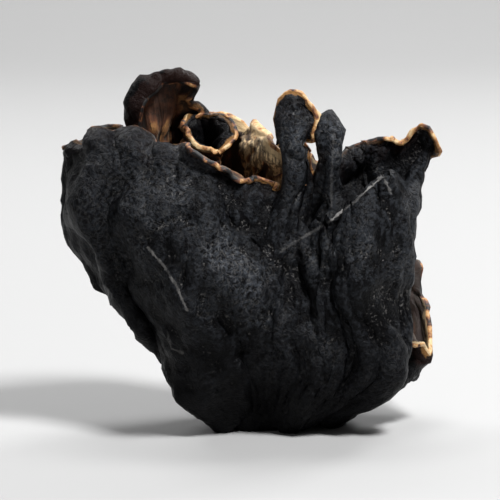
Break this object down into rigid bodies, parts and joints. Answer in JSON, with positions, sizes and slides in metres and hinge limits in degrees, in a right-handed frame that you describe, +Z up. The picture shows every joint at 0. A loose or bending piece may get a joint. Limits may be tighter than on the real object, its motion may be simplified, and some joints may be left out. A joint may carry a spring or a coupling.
{
  "type": "dried wood ear mushroom",
  "caption": "Dried black wood ear mushroom: one crumpled, leathery sheet rolled into a funnel with curled rims, standing on its flat-cut root.",
  "frame": {"origin": "middle of the flat cut through the root, where the mushroom grew on the wood", "axes": "+Z up, away from the cut; +X to the right along the widest spread of the ear; the front, with the lower rim over the hollow, looks towards -Y"},
  "size_m": [0.0679, 0.0438, 0.0652],
  "materials": {
    "dried_skin": "black, finely wrinkled and dusty satin outside; velvety reddish tan inside, with thin pale rims"
  },
  "bodies": {
    "root": {"fruit_body": "dried_skin"}
  },
  "joints": []
}
